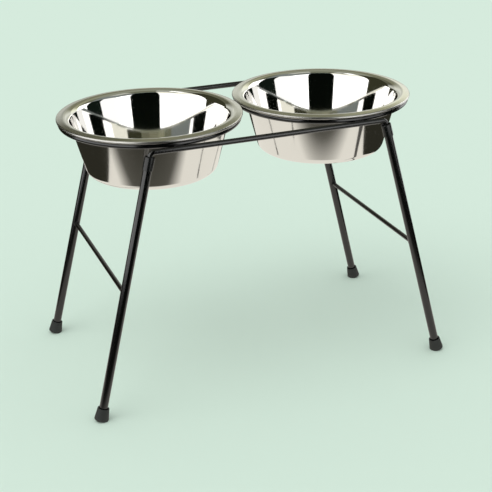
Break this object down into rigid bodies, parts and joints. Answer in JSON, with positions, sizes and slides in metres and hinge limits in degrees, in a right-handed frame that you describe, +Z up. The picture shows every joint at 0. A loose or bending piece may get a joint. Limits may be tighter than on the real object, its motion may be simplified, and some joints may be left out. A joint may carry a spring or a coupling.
{
  "type": "raised double dog feeder stand",
  "caption": "Raised feeder stand: polished steel bowls hang by their rims in wire rings on bent rails, with push-on end frames of splayed tube legs on rubber feet.",
  "frame": {"origin": "on the floor under the middle of the stand", "axes": "+X along the rails from the left bowl to the right bowl, +Y from front to rear, +Z up"},
  "size_m": [0.5044, 0.2828, 0.3565],
  "materials": {
    "polished_steel": "mirror polished stainless steel, finer ground lip",
    "black_coat": "glossy black powder coat",
    "black_bush": "satin moulded black",
    "grey_rubber": "matte dark grey rubber"
  },
  "bodies": {
    "stand_top": {"left_ring": "black_coat", "right_ring": "black_coat", "front_rail": "black_coat", "rear_rail": "black_coat", "left_ring_welds": "black_coat", "right_ring_welds": "black_coat"},
    "left_end": {"left_front_leg": "black_coat", "left_rear_leg": "black_coat", "left_front_socket": "black_bush", "left_rear_socket": "black_bush", "left_front_foot": "grey_rubber", "left_rear_foot": "grey_rubber", "left_crossbar": "black_coat", "left_crossbar_welds": "black_coat"},
    "right_end": {"right_front_leg": "black_coat", "right_rear_leg": "black_coat", "right_front_socket": "black_bush", "right_rear_socket": "black_bush", "right_front_foot": "grey_rubber", "right_rear_foot": "grey_rubber", "right_crossbar": "black_coat", "right_crossbar_welds": "black_coat"},
    "left_bowl_body": {"left_bowl": "polished_steel"},
    "right_bowl_body": {"right_bowl": "polished_steel"}
  },
  "joints": [
    {"name": "left_bowl_lift", "type": "slide", "parent": "stand_top", "child": "left_bowl_body", "axis": [0, 0, 1], "range_m": [0, 0.11]},
    {"name": "right_bowl_lift", "type": "slide", "parent": "stand_top", "child": "right_bowl_body", "axis": [0, 0, 1], "range_m": [0, 0.11]},
    {"name": "left_end_pull", "type": "slide", "parent": "stand_top", "child": "left_end", "axis": [-0.2463, 0, -0.9692], "range_m": [0, 0.04]},
    {"name": "right_end_pull", "type": "slide", "parent": "stand_top", "child": "right_end", "axis": [0.2463, 0, -0.9692], "range_m": [0, 0.04]}
  ]
}
